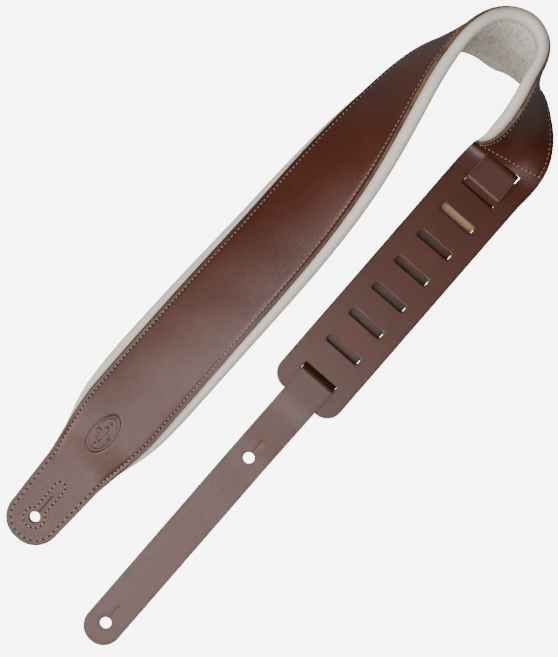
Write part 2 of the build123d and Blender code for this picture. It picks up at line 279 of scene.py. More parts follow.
def swell(run, sizes, w, s):
    """How far the leather and what is under it stands above its flat lie."""
    seam = run.read(run.half, s) - sizes.inset
    share = np.clip(1 - (w / seam) ** 2, 0, 1)
    waves = wander(w * 60, s * 55, 1.0) * 0.0004
    return (sizes.crown * share + waves * share) * fullness(run, s)


# ---- Cutting leather -----------------------------------------------------------------------
def filleted(corners, radii, step=0.0007):
    """Closed or open line through these corners, each rounded by its radius."""
    line = []
    for number, (corner, radius) in enumerate(zip(corners, radii)):
        corner = np.array(corner, float)
        if not radius:
            line.append(corner)
            continue
        before = np.array(corners[number - 1], float) - corner
        after = np.array(corners[(number + 1) % len(corners)], float) - corner
        before /= np.linalg.norm(before)
        after /= np.linalg.norm(after)
        half_angle = math.acos(float(np.clip(before @ after, -1, 1))) / 2
        bisector = (before + after) / np.linalg.norm(before + after)
        centre = corner + bisector * radius / math.sin(half_angle)
        start = corner + before * radius / math.tan(half_angle) - centre
        sweep = math.pi - 2 * half_angle
        turn = 1 if before[0] * after[1] - before[1] * after[0] < 0 else -1
        count = max(4, int(radius * sweep / step))
        for k in range(count + 1):
            a = turn * sweep * k / count
            line.append(centre + np.array([start[0] * math.cos(a) - start[1] * math.sin(a),
                                           start[0] * math.sin(a) + start[1] * math.cos(a)]))
    return line


def pin_hole(s, radius, slit_length):
    """Outline of a pin hole with its slit, in (w, s)."""
    start = math.asin(SLIT / 2 / radius)
    line = [(SLIT / 2, s + slit_length), (-SLIT / 2, s + slit_length)]
    for k in range(41):
        a = math.pi / 2 + start + (2 * math.pi - 2 * start) * k / 40
        line.append((radius * math.cos(a), s + radius * math.sin(a)))
    return [np.array(point) for point in line]


def slot_hole(s, long, high, corner):
    """Outline of a slot with rounded corners, in (w, s)."""
    a, b = long / 2, high / 2
    return filleted([(-a, s - b), (a, s - b), (a, s + b), (-a, s + b)], [corner] * 4, 0.0004)


def turned(line, anticlockwise):
    """The closed line in the asked direction, without doubled points."""
    kept = [p for k, p in enumerate(line) if np.linalg.norm(p - line[k - 1]) > 2e-5]
    line = np.array(kept)
    area = np.sum(line[:, 0] * np.roll(line[:, 1], -1) - np.roll(line[:, 0], -1) * line[:, 1])
    return line if (area > 0) == anticlockwise else line[::-1]


def set_in(line, distance):
    """The closed line moved to its left by this distance."""
    ahead = np.roll(line, -1, axis=0) - line
    ahead /= np.linalg.norm(ahead, axis=1)[:, None]
    left = np.stack([-ahead[:, 1], ahead[:, 0]], axis=1)
    mean = left + np.roll(left, 1, axis=0)
    mean /= np.maximum(np.linalg.norm(mean, axis=1), 1e-6)[:, None]
    spread = np.maximum(np.sum(mean * left, axis=1), 0.5)
    return line + mean * (distance / spread)[:, None]


def split(bm, faces, lines, axis):
    """Cuts the faces along every one of these lines, halving the work each time."""
    if not len(lines) or not faces:
        return
    middle = len(lines) // 2
    edges = {e for f in faces for e in f.edges}
    verts = {v for f in faces for v in f.verts}
    at = [0.0, 0.0, 0.0]
    at[axis] = lines[middle]
    facing = [0.0, 0.0, 0.0]
    facing[axis] = 1.0
    cut = bmesh.ops.bisect_plane(bm, geom=[*faces, *edges, *verts], dist=1e-4, plane_co=at, plane_no=facing)
    found = [f for f in cut["geom"] if isinstance(f, bmesh.types.BMFace)]
    low, high = [], []
    for face in found:
        side = face.calc_center_median()[axis] < lines[middle]
        (low if side else high).append(face)
    split(bm, low, lines[:middle], axis)
    split(bm, high, lines[middle + 1:], axis)


def cut_leather(name, run, outline, holes, low, high, edge_round, s_lines, w_lines, shape, fine=None):
    """Leather cut to an outline with holes, its edges rounded, bent along a run.

    The piece is cut flat, in millimetres, with its width shared out evenly between the run's edges
    so that the cuts along it follow them, and then laid on the run. shape gives each point's lift.
    """
    rows = [turned([np.array(p, float) for p in outline], True)]
    rows += [turned([np.array(p, float) for p in hole], False) for hole in holes]
    wide = float(run.half.max())

    def spread(w, s):
        half = run.read(run.half, s)
        inner = half - 0.006
        share = np.where(np.abs(w) < inner, np.abs(w) * (wide - 0.006) / inner, np.abs(w) - half + wide)
        return np.sign(w) * share

    def gathered(u, s):
        half = run.read(run.half, s)
        share = np.where(np.abs(u) < wide - 0.006, np.abs(u) * (half - 0.006) / (wide - 0.006),
                         np.abs(u) - wide + half)
        return np.sign(u) * share

    steps = [math.radians(a) for a in (0, 30, 60, 90)]
    profile = [(edge_round * (1 - math.cos(a)), low + edge_round * (1 - math.sin(a))) for a in steps[::-1]]
    profile += [(edge_round * (1 - math.cos(a)), high - edge_round * (1 - math.sin(a))) for a in steps]
    bm = bmesh.new()
    top_edges, back_edges = [], []
    for row in rows:
        rings = []
        for inset, n in profile:
            line = set_in(row, inset)
            u = spread(line[:, 0], line[:, 1])
            rings.append([bm.verts.new((a * 1e3, b * 1e3, n * 1e3)) for a, b in zip(u, line[:, 1])])
        count = len(row)
        for lower, upper in zip(rings, rings[1:]):
            for k in range(count):
                after = (k + 1) % count
                bm.faces.new((lower[k], lower[after], upper[after], upper[k]))
        back_edges += [bm.edges.get((rings[0][k], rings[0][(k + 1) % count])) for k in range(count)]
        top_edges += [bm.edges.get((rings[-1][k], rings[-1][(k + 1) % count])) for k in range(count)]
    for edges, facing in ((top_edges, 1), (back_edges, -1)):
        made = bmesh.ops.triangle_fill(bm, use_beauty=False, edges=edges, normal=(0, 0, facing))
        for face in [f for f in made["geom"] if isinstance(f, bmesh.types.BMFace)]:
            face.normal_update()
            if face.normal.z * facing < 0:
                face.normal_flip()
    split(bm, bm.faces[:], [value * 1e3 for value in s_lines], 1)
    split(bm, bm.faces[:], [value * 1e3 for value in w_lines], 0)
    if fine:
        (w0, w1), (s0, s1), step = fine
        middle = [f for f in bm.faces if f.normal.z > 0.9 and w0 * 1e3 < f.calc_center_median().x < w1 * 1e3
                  and s0 * 1e3 < f.calc_center_median().y < s1 * 1e3]
        split(bm, middle, list(np.arange(s0, s1, step) * 1e3), 1)
        middle = [f for f in bm.faces if f.normal.z > 0.9 and w0 * 1e3 < f.calc_center_median().x < w1 * 1e3
                  and s0 * 1e3 < f.calc_center_median().y < s1 * 1e3]
        split(bm, middle, list(np.arange(w0, w1, step) * 1e3), 0)
    bm.normal_update()
    finish = []
    for face in bm.faces:
        finish.append(0 if face.normal.z > 0.8 else 1 if face.normal.z < -0.8 else 2)
        face.smooth = True
    flat = np.array([v.co for v in bm.verts], float) * MM
    mesh = bpy.data.meshes.new(name)
    bm.to_mesh(mesh)
    bm.free()
    s = flat[:, 1]
    w = gathered(flat[:, 0], s)
    n = flat[:, 2] + shape(w, s, flat[:, 2])
    mesh.vertices.foreach_set("co", run.bent(w, s, n).ravel())
    mesh.polygons.foreach_set("material_index", finish)
    loops = np.zeros(len(mesh.loops), int)
    mesh.loops.foreach_get("vertex_index", loops)
    mesh.uv_layers.new(name="pattern").data.foreach_set("uv", np.stack([w, s], axis=1)[loops].ravel())
    rim = np.concatenate(rows)
    nearest = np.full(len(w), 1.0)
    for start in range(0, len(w), 2000):
        chunk = np.stack([w[start:start + 2000], s[start:start + 2000]], axis=1)
        gaps = np.linalg.norm(chunk[:, None, :] - rim[None, :, :], axis=2)
        nearest[start:start + 2000] = gaps.min(axis=1)
    edge = mesh.attributes.new("edge", "FLOAT", "POINT")
    edge.data.foreach_set("value", np.clip(nearest / 0.008, 0, 1).astype(np.float32))
    mesh.update()
    piece = bpy.data.objects.new(name, mesh)
    bpy.context.scene.collection.objects.link(piece)
    return piece, w, s, flat[:, 2]


def note_on_points(piece, name, values):
    """Keeps a value on each point for the materials."""
    noted = piece.data.attributes.new(name, "FLOAT", "POINT")
    noted.data.foreach_set("value", np.asarray(values, np.float32))


def dressed(piece, *materials):
    """Gives the piece these materials, in the order of its faces' numbers."""
    for material in materials:
        piece.data.materials.append(material)
    return piece


# ---- Materials -----------------------------------------------------------------------------
def add(tree, kind, settings=None, **values):
    """A node with these settings, its inputs set or linked by name."""
    made = tree.nodes.new(kind)
    for key, value in (settings or {}).items():
        setattr(made, key, value)
    for key, value in values.items():
        socket = made.inputs[key.replace("_", " ")]
        if isinstance(value, bpy.types.NodeSocket):
            tree.links.new(value, socket)
        else:
            socket.default_value = value
    return made


def mixed(tree, factor, first, second, blend="MIX"):
    """Colour between two others."""
    made = tree.nodes.new("ShaderNodeMix")
    made.data_type = "RGBA"
    made.blend_type = blend
    for socket, value in zip((made.inputs[0], made.inputs[6], made.inputs[7]), (factor, first, second)):
        if isinstance(value, bpy.types.NodeSocket):
            tree.links.new(value, socket)
        else:
            socket.default_value = value if socket is made.inputs[0] else (*value[:3], 1)
    return made.outputs[2]


def sums(tree, kind, first, second):
    """Sum of two values, or what another operation makes of them."""
    made = tree.nodes.new("ShaderNodeMath")
    made.operation = kind
    for socket, value in zip(made.inputs, (first, second)):
        if isinstance(value, bpy.types.NodeSocket):
            tree.links.new(value, socket)
        else:
            socket.default_value = value
    return made.outputs[0]


def ranged(tree, value, low, high, out_low=0.0, out_high=1.0):
    """Value brought from one range to another."""
    made = add(tree, "ShaderNodeMapRange", None, Value=value, From_Min=low, From_Max=high,
               To_Min=out_low, To_Max=out_high)
    return made.outputs[0]


def new_group(name, inputs, outputs):
    """Empty shader node group with these inputs and outputs."""
    group = bpy.data.node_groups.new(name, "ShaderNodeTree")
    for label, kind, default in inputs:
        socket = group.interface.new_socket(label, in_out="INPUT", socket_type=kind)
        socket.default_value = default
    for label, kind in outputs:
        group.interface.new_socket(label, in_out="OUTPUT", socket_type=kind)
    return group, group.nodes.new("NodeGroupInput").outputs, group.nodes.new("NodeGroupOutput").inputs


def hide_grain_group():
    """Fine pores and creases of finished hide, as a height and a mask."""
    name = "hide_grain"
    if name in bpy.data.node_groups:
        return bpy.data.node_groups[name]
    group, given, out = new_group(
        name, [("Pores", "NodeSocketFloat", 900.0), ("Creasing", "NodeSocketFloat", 0.4)],
        [("Height", "NodeSocketFloat"), ("Mask", "NodeSocketFloat")],
    )
    place = add(group, "ShaderNodeTexCoord").outputs["Object"]
    warp = add(group, "ShaderNodeTexNoise", None, Vector=place, Scale=120.0, Detail=3.0).outputs["Color"]
    moved = add(group, "ShaderNodeVectorMath", {"operation": "MULTIPLY_ADD"})
    group.links.new(warp, moved.inputs[0])
    moved.inputs[1].default_value = (0.002, 0.002, 0.002)
    group.links.new(place, moved.inputs[2])
    pores = add(group, "ShaderNodeTexVoronoi", {"feature": "DISTANCE_TO_EDGE"}, Vector=moved.outputs[0],
                Scale=given["Pores"]).outputs["Distance"]
    creases = add(group, "ShaderNodeTexNoise", {"noise_type": "RIDGED_MULTIFRACTAL"}, Vector=place,
                  Scale=160.0, Detail=4.0).outputs[0]
    pore_height = ranged(group, pores, 0.0, 0.25)
    crease_height = sums(group, "MULTIPLY", creases, given["Creasing"])
    group.links.new(sums(group, "ADD", pore_height, crease_height), out["Height"])
    group.links.new(pore_height, out["Mask"])
    return group


def handling_group():
    """Slow changes of shade, and wear along the edges, as two masks."""
    name = "handling"
    if name in bpy.data.node_groups:
        return bpy.data.node_groups[name]
    group, given, out = new_group(
        name, [("Patches", "NodeSocketFloat", 18.0), ("Edge Wear", "NodeSocketFloat", 1.0)],
        [("Shade", "NodeSocketFloat"), ("Edge", "NodeSocketFloat"), ("Scuffs", "NodeSocketFloat")],
    )
    place = add(group, "ShaderNodeTexCoord").outputs["Object"]
    slow = add(group, "ShaderNodeTexNoise", None, Vector=place, Scale=given["Patches"], Detail=3.0)
    fine = add(group, "ShaderNodeTexNoise", None, Vector=place, Scale=260.0, Detail=5.0, Roughness=0.65)
    stretched = add(group, "ShaderNodeMapping", None, Vector=place, Scale=(900.0, 130.0, 500.0))
    scuffs = add(group, "ShaderNodeTexNoise", None, Vector=stretched.outputs[0], Scale=1.0, Detail=3.0)
    edge = add(group, "ShaderNodeAttribute", {"attribute_name": "edge"}).outputs["Fac"]
    near = ranged(group, edge, 0.05, 0.5, 1.0, 0.0)
    broken = ranged(group, fine.outputs[0], 0.35, 0.6)
    worn = sums(group, "MULTIPLY", sums(group, "MULTIPLY", near, broken), given["Edge Wear"])
    group.links.new(ranged(group, slow.outputs[0], 0.3, 0.7), out["Shade"])
    group.links.new(worn, out["Edge"])
    group.links.new(ranged(group, scuffs.outputs[0], 0.6, 0.75), out["Scuffs"])
    return group


def placed(tree, group, **values):
    """A node group placed in a material with its own values."""
    made = tree.nodes.new("ShaderNodeGroup")
    made.node_tree = group
    for key, value in values.items():
        made.inputs[key.replace("_", " ")].default_value = value
    return made.outputs


def new_material(name):
    """New material of this name, its nodes and its shader."""
    material = bpy.data.materials.new(name)
    material.use_nodes = True
    tree = material.node_tree
    shader = tree.nodes["Principled BSDF"]
    return material, tree, shader


def made_once(maker):
    """The material of this name, made only if it isn't there yet."""

    def material(name, *settings, **more):
        return bpy.data.materials.get(name) or maker(name, *settings, **more)

    return material


def bumped(tree, shader, height, distance, strength=1.0):
    """Gives the shader this height as a bump."""
    bump = add(tree, "ShaderNodeBump", None, Height=height, Distance=distance, Strength=strength)
    tree.links.new(bump.outputs[0], shader.inputs["Normal"])


@made_once
def grain_material(name, light, dark, roughness, stamped=False):
    """Waxed, smooth-grained leather with darker and worn places."""
    material, tree, shader = new_material(name)
    grain = placed(tree, hide_grain_group(), Pores=1100.0, Creasing=0.5)
    handled = placed(tree, handling_group(), Patches=16.0, Edge_Wear=0.55)
    base = mixed(tree, handled["Shade"], dark, light)
    pored = mixed(tree, ranged(tree, grain["Mask"], 0.0, 0.5, 0.22, 0.0), base, [c * 0.4 for c in dark])
    worn = mixed(tree, handled["Edge"], pored, [c * 0.35 for c in dark])
    scuffed = sums(tree, "MULTIPLY", handled["Scuffs"], 0.12)
    rubbed = mixed(tree, scuffed, worn, [min(1, c * 2.2) for c in light])
    if stamped:
        mark = add(tree, "ShaderNodeAttribute", {"attribute_name": "stamp"}).outputs["Fac"]
        rubbed = mixed(tree, sums(tree, "MULTIPLY", mark, 0.75), rubbed, [c * 0.25 for c in dark])
    tree.links.new(rubbed, shader.inputs["Base Color"])
    uneven = ranged(tree, handled["Shade"], 0.0, 1.0, roughness - 0.04, roughness + 0.05)
    tree.links.new(sums(tree, "ADD", uneven, sums(tree, "MULTIPLY", grain["Mask"], -0.04)),
                   shader.inputs["Roughness"])
    shader.inputs["Specular IOR Level"].default_value = 0.42
    shader.inputs["Coat Weight"].default_value = 0.08
    shader.inputs["Coat Roughness"].default_value = 0.25
    bumped(tree, shader, grain["Height"], 0.00006, 0.5)
    return material


@made_once
def cut_edge_material(name, burnished, raw):
    """Burnished cut edge, with the hide's fibres in layers and a little raw leather showing."""
    material, tree, shader = new_material(name)
    place = add(tree, "ShaderNodeTexCoord").outputs["Object"]
    fibres = add(tree, "ShaderNodeTexNoise", None, Vector=place, Scale=700.0, Detail=6.0, Roughness=0.7)
    patches = add(tree, "ShaderNodeTexNoise", None, Vector=place, Scale=70.0, Detail=3.0)
    showing = ranged(tree, patches.outputs[0], 0.35, 0.6, 0.08, 0.5)
    layered = ranged(tree, fibres.outputs[0], 0.3, 0.7, 0.0, 0.5)
    base = mixed(tree, layered, burnished, [c * 2.2 for c in burnished])
    tree.links.new(mixed(tree, sums(tree, "MULTIPLY", showing, fibres.outputs[0]), base, raw),
                   shader.inputs["Base Color"])
    tree.links.new(ranged(tree, fibres.outputs[0], 0.3, 0.7, 0.45, 0.7), shader.inputs["Roughness"])
    bumped(tree, shader, fibres.outputs[0], 0.0003, 0.6)
    return material


@made_once
def flesh_material(name, base):
    """Flesh side of the hide: matt, fibrous and uneven."""
    material, tree, shader = new_material(name)
    place = add(tree, "ShaderNodeTexCoord").outputs["Object"]
    nap = add(tree, "ShaderNodeTexNoise", None, Vector=place, Scale=900.0, Detail=6.0,
              Roughness=0.75).outputs[0]
    slow = add(tree, "ShaderNodeTexNoise", None, Vector=place, Scale=45.0, Detail=4.0).outputs[0]
    toned = mixed(tree, ranged(tree, slow, 0.3, 0.7), [c * 0.8 for c in base], base)
    tree.links.new(mixed(tree, ranged(tree, nap, 0.35, 0.65, 0.0, 0.45), toned, [c * 0.6 for c in base]),
                   shader.inputs["Base Color"])
    shader.inputs["Roughness"].default_value = 0.92
    shader.inputs["Sheen Weight"].default_value = 0.3
    bumped(tree, shader, nap, 0.0004, 0.7)
    return material


@made_once
def lining_material(name, base):
    """Soft garment leather: fine grain, fine wrinkles, and painted shade in its seam creases, its fold
    valleys and inside the U-turn.
    """
    material, tree, shader = new_material(name)
    grain = placed(tree, hide_grain_group(), Pores=1500.0, Creasing=0.9)
    place = add(tree, "ShaderNodeTexCoord").outputs["Object"]
    slow = add(tree, "ShaderNodeTexNoise", None, Vector=place, Scale=30.0, Detail=3.0).outputs[0]
    # the crease attribute marks painted shade
    crease = add(tree, "ShaderNodeAttribute", {"attribute_name": "crease"}).outputs["Fac"]
    toned = mixed(tree, ranged(tree, slow, 0.3, 0.7), [c * 0.93 for c in base], base)
    pored = mixed(tree, ranged(tree, grain["Mask"], 0.0, 0.5, 0.25, 0.0), toned, [c * 0.72 for c in base])
    # painted shade: darker towards a fifth of the base colour where the crease attribute is high
    tree.links.new(mixed(tree, sums(tree, "MULTIPLY", crease, 0.9), pored, [c * 0.2 for c in base]),
                   shader.inputs["Base Color"])
    tree.links.new(ranged(tree, grain["Mask"], 0.0, 1.0, 0.66, 0.54), shader.inputs["Roughness"])
    shader.inputs["Specular IOR Level"].default_value = 0.35
    shader.inputs["Sheen Weight"].default_value = 0.15
    bumped(tree, shader, grain["Height"], 0.00012, 0.7)
    return material


@made_once
def foam_material(name, base):
    """Open-cell foam."""
    material, tree, shader = new_material(name)
    place = add(tree, "ShaderNodeTexCoord").outputs["Object"]
    cells = add(tree, "ShaderNodeTexVoronoi", None, Vector=place, Scale=1400.0).outputs["Distance"]
    tree.links.new(mixed(tree, ranged(tree, cells, 0.0, 0.7), [c * 0.7 for c in base], base),
                   shader.inputs["Base Color"])
    shader.inputs["Roughness"].default_value = 0.95
    bumped(tree, shader, cells, 0.0003, 0.8)
    return material


@made_once
def thread_material(name, base):
    """Bonded thread, twisted from its strands."""
    material, tree, shader = new_material(name)
    place = add(tree, "ShaderNodeTexCoord").outputs["Object"]
    twist = add(tree, "ShaderNodeTexWave", {"bands_direction": "DIAGONAL"}, Vector=place, Scale=1300.0,
                Distortion=1.0).outputs[1]
    tree.links.new(mixed(tree, twist, [c * 0.65 for c in base], base), shader.inputs["Base Color"])
    shader.inputs["Roughness"].default_value = 0.55
    bumped(tree, shader, twist, 0.00015, 0.6)
    return material


@made_once
def needle_hole_shade_material(name, base):
    """Painted shade: the dark colour of the pit that the needle leaves, put on a flat disc."""
    material, tree, shader = new_material(name)
    place = add(tree, "ShaderNodeTexCoord").outputs["Object"]
    shade_mottle = add(tree, "ShaderNodeTexNoise", None, Vector=place, Scale=800.0, Detail=3.0).outputs[0]
    # painted shade of the needle's pit, mottled by noise
    tree.links.new(mixed(tree, shade_mottle, [c * 0.3 for c in base], base), shader.inputs["Base Color"])
    shader.inputs["Roughness"].default_value = 0.85
    return material


def strap_leathers(colours):
    """Grain, flesh and cut edge of the top leather."""
    return (
        grain_material("top_grain", colours.leather, colours.leather_dark, 0.36, stamped=True),
        flesh_material("flesh_side", colours.flesh),
        cut_edge_material("burnished_edge", colours.cut_edge, colours.flesh),
    )


# ---- Top leather and head backing ----------------------------------------------------------
SLOT_LONG = 0.0326
FREE_SLOT_LONG = 0.0325  # slots that nothing runs through
TOP_SLOT_HEIGHT = 0.0060  # drawn closed a little round the hook
TOP_SLOT_SHIFT = 0.0006
SLOT_CORNER = 0.0010
FREE_SLOT_CORNER = 0.0030
SLIT = 0.00005  # the slits above the pin holes lie nearly closed
HEAD_HOLE_S = HEAD_HOLE_Y - HEAD_TIP_Y
HEAD_FLAT_S = HEAD_FLAT_Y - HEAD_TIP_Y
STAMP_PLACE = (-0.0016, 0.1118)
STAMP_HALF = (0.0105, 0.0195)


def head_tip(sizes, inset=0.0):
    """Outline of the head tab's tip in (w, s), from its outer side round to its inner side."""
    half = sizes.head_width / 2 - inset
    end = half - HEAD_TAPER
    corner = HEAD_CORNER - inset
    line = filleted([(-half, HEAD_HOLE_S), (-end, inset), (end, inset), (half, HEAD_HOLE_S)],
                    [0, corner, corner, 0])
    return [np.array(p, float) for p in line]


def stamp_mask(w, s):
    """Blind stamp: two plain ovals round a four-petalled rosette."""
    x, y = w - STAMP_PLACE[0], s - STAMP_PLACE[1]
    oval = np.sqrt((x / STAMP_HALF[0]) ** 2 + (y / STAMP_HALF[1]) ** 2)
    away = np.hypot(x, y)
    petals = 0.0068 * np.abs(np.cos(2 * np.arctan2(y, x)))
    mask = np.exp(-(((oval - 0.95) / 0.045) ** 2)) + 0.7 * np.exp(-(((oval - 0.78) / 0.03) ** 2))
    mask += np.exp(-(((away - petals) / 0.0006) ** 2)) * (away > 0.0012)
    for end in (-1, 1):
        mask += np.exp(-((np.hypot(x, y - end * 0.0108) / 0.0009) ** 2))
    return np.clip(mask, 0, 1)


def panel_s(run, y):
    """Distance along the strap of a place on the ladder panel."""
    return float(run.s[-1] - (y - PANEL_END_Y))


class STRAP_OT_top_leather(bpy.types.Operator):
    """Cuts the top leather with its slots, pin hole and blind stamp, and lays it on its run"""

    bl_idname = "strap.top_leather"
    bl_label = "Top Leather"

    def execute(self, context):
        sizes, colours = context.scene.strap_sizes, context.scene.strap_colours
        run = strap_run(sizes)
        end = float(run.s[-1])
        along = np.arange(HEAD_FLAT_S, end - 0.02, 0.0025)
        half = run.read(run.half, along)
        ending = sizes.panel_width / 2
        outline = head_tip(sizes)
        outline += [np.array(p) for p in zip(half, along)]
        outline += filleted([(ending, end - 0.015), (ending, end), (-ending, end), (-ending, end - 0.015)],
                            [0, PANEL_CORNER, PANEL_CORNER, 0])
        outline += [np.array(p) for p in zip(-half[::-1], along[::-1])]
        holes = [pin_hole(HEAD_HOLE_S, HEAD_HOLE, HEAD_SLIT_LENGTH)]
        for y in [ENTRY_SLOT_Y] + [FIRST_SLOT_Y + SLOT_PITCH * k for k in range(SLOTS)]:
            threaded = y == ENTRY_SLOT_Y or y > TOP_SLOT_Y - 1.5 * SLOT_PITCH
            long = SLOT_LONG if threaded else FREE_SLOT_LONG
            hooked = y > TOP_SLOT_Y - 0.5 * SLOT_PITCH
            high = TOP_SLOT_HEIGHT if hooked else SLOT_HEIGHT
            corner = SLOT_CORNER if threaded else FREE_SLOT_CORNER
            holes.append(slot_hole(panel_s(run, y - TOP_SLOT_SHIFT * hooked), long, high, corner))
        turn_start, turn_end = run.where(11), run.where(ROUTE_END - 2)
        s_lines = np.concatenate([
            np.arange(0.0013, turn_start, 0.003),
            np.arange(turn_start, turn_end, 0.0016),
            np.arange(turn_end, end, 0.003),
        ])
        near_seam = [0.0275, 0.0288, 0.0295, 0.03, 0.0305, 0.0312, 0.0325]
        sides = np.array([0.004, 0.009, 0.014, 0.019, 0.024, *near_seam])
        w_lines = np.concatenate([-sides[::-1], [0.0], sides])
        seam_end = run.where(CROSS_SEAM)

        def shape(w, s, n):
            to_seam = np.abs(np.abs(w) - (run.read(run.half, s) - sizes.inset))
            sewn = eased(s, HEAD_FLAT_S - 0.004, HEAD_FLAT_S) * (s < seam_end)
            channel = np.exp(-((to_seam / 0.0011) ** 2)) * sewn
            grain = np.clip(n / sizes.leather, 0, 1)
            pressed = 0.0003 * channel + sizes.stamp_depth * stamp_mask(w, s)
            return swell(run, sizes, w, s) - grain * pressed

        patch = ((STAMP_PLACE[0] - 0.0125) * 1.35, (STAMP_PLACE[0] + 0.0125) * 1.35)
        fine = (patch, (STAMP_PLACE[1] - 0.0215, STAMP_PLACE[1] + 0.0215), 0.00045)
        piece, w, s, n = cut_leather("top_leather_cut", run, outline, holes, 0.0, sizes.leather,
                                     sizes.edge_round, s_lines, w_lines, shape, fine)
        note_on_points(piece, "stamp", stamp_mask(w, s))
        dressed(piece, *strap_leathers(colours))
        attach(piece, STRAP_BODY)
        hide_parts("top_leather")
        return {"FINISHED"}


class STRAP_OT_head_backing(bpy.types.Operator):
    """Cuts the backing that is sewn under the head tab"""

    bl_idname = "strap.head_backing"
    bl_label = "Head Backing"

    def execute(self, context):
        sizes, colours = context.scene.strap_sizes, context.scene.strap_colours
        run = strap_run(sizes)
        along = np.linspace(HEAD_HOLE_S + 0.002, HEAD_FLAT_S - 0.0002, 20)
        half = run.read(run.half, along)
        outline = head_tip(sizes)
        outline += [np.array(p) for p in zip(half, along)]
        outline += [np.array(p) for p in zip(-half[::-1], along[::-1])]
        holes = [pin_hole(HEAD_HOLE_S, HEAD_HOLE, HEAD_SLIT_LENGTH)]
        piece, *_ = cut_leather("head_backing_cut", run, outline, holes, -HEAD_Z, sizes.backing - HEAD_Z,
                                0.0005, np.arange(0.0013, HEAD_FLAT_S, 0.003),
                                np.arange(-0.03, 0.031, 0.005), lambda w, s, n: w * 0)
        top, flesh, edge = strap_leathers(colours)
        dressed(piece, flesh, top, edge)
        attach(piece, STRAP_BODY)
        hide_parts("head_backing")
        return {"FINISHED"}


# ---- Tail ----------------------------------------------------------------------------------
TAIL_TIP_Y = -0.0188
TAIL_HOLE_SPACING = 0.178
STEEP = math.tan(math.radians(57))
HOOK_PLAY = 0.002


def tail_run(sizes):
    """Run of the tail's middle: up behind the ladder, over the top rung and back behind it."""
    half = sizes.tail_leather / 2
    panel = PANEL_Z + sizes.leather / 2
    rise = sizes.leather / 2 + HOOK_PLAY + half
    entry = sizes.leather / 2 + 0.0004 + half
    lower_slot = TOP_SLOT_Y - SLOT_PITCH
    fold_y = TOP_SLOT_Y - SLOT_HEIGHT / 2 - 0.001
    ramp_end = PANEL_END_Y - 0.010
    corners = [
        (TAIL_TIP_Y, half),
        (ramp_end - 0.052, half),
        (ramp_end, panel + entry),
        (ENTRY_SLOT_Y - entry / STEEP, panel + entry),
        (ENTRY_SLOT_Y + entry / STEEP, panel - entry),
        (ENTRY_SLOT_Y + 0.024, half),
        (lower_slot - (panel - half) / STEEP, half),
        (lower_slot + rise / STEEP, panel + rise),
        (fold_y, panel + rise),
    ]
    bends = [0, 0.150, 0.090, 0.0022, 0.0022, 0.060, 0.0022, 0.0022, 0]
    line = [np.array(p) for p in filleted(corners, bends, 0.0003)]
    for k in range(1, 61):
        a = math.pi / 2 - math.pi * k / 60
        line.append(np.array([fold_y + rise * math.cos(a), panel + rise * math.sin(a)]))
    slit_end = TOP_SLOT_Y - 2 * SLOT_PITCH - 0.009
    line.append(np.array([slit_end, panel - rise]))
    line = np.array(line)
    steps = np.linalg.norm(np.diff(line, axis=0), axis=1)
    at = np.concatenate([[0.0], np.cumsum(steps)])
    even = np.arange(0, at[-1], 0.0003)
    points = np.stack([even * 0, np.interp(even, at, line[:, 0]), np.interp(even, at, line[:, 1])], axis=1)
    half_width = even * 0 + sizes.tail_width / 2
    run = Run(points, lambda ahead: np.tile([1.0, 0.0, 0.0], (len(ahead), 1)), half_width, even)
    crossing = lower_slot - rise / STEEP
    return run, float(at[-1]), float(at[-1] - (crossing - slit_end))


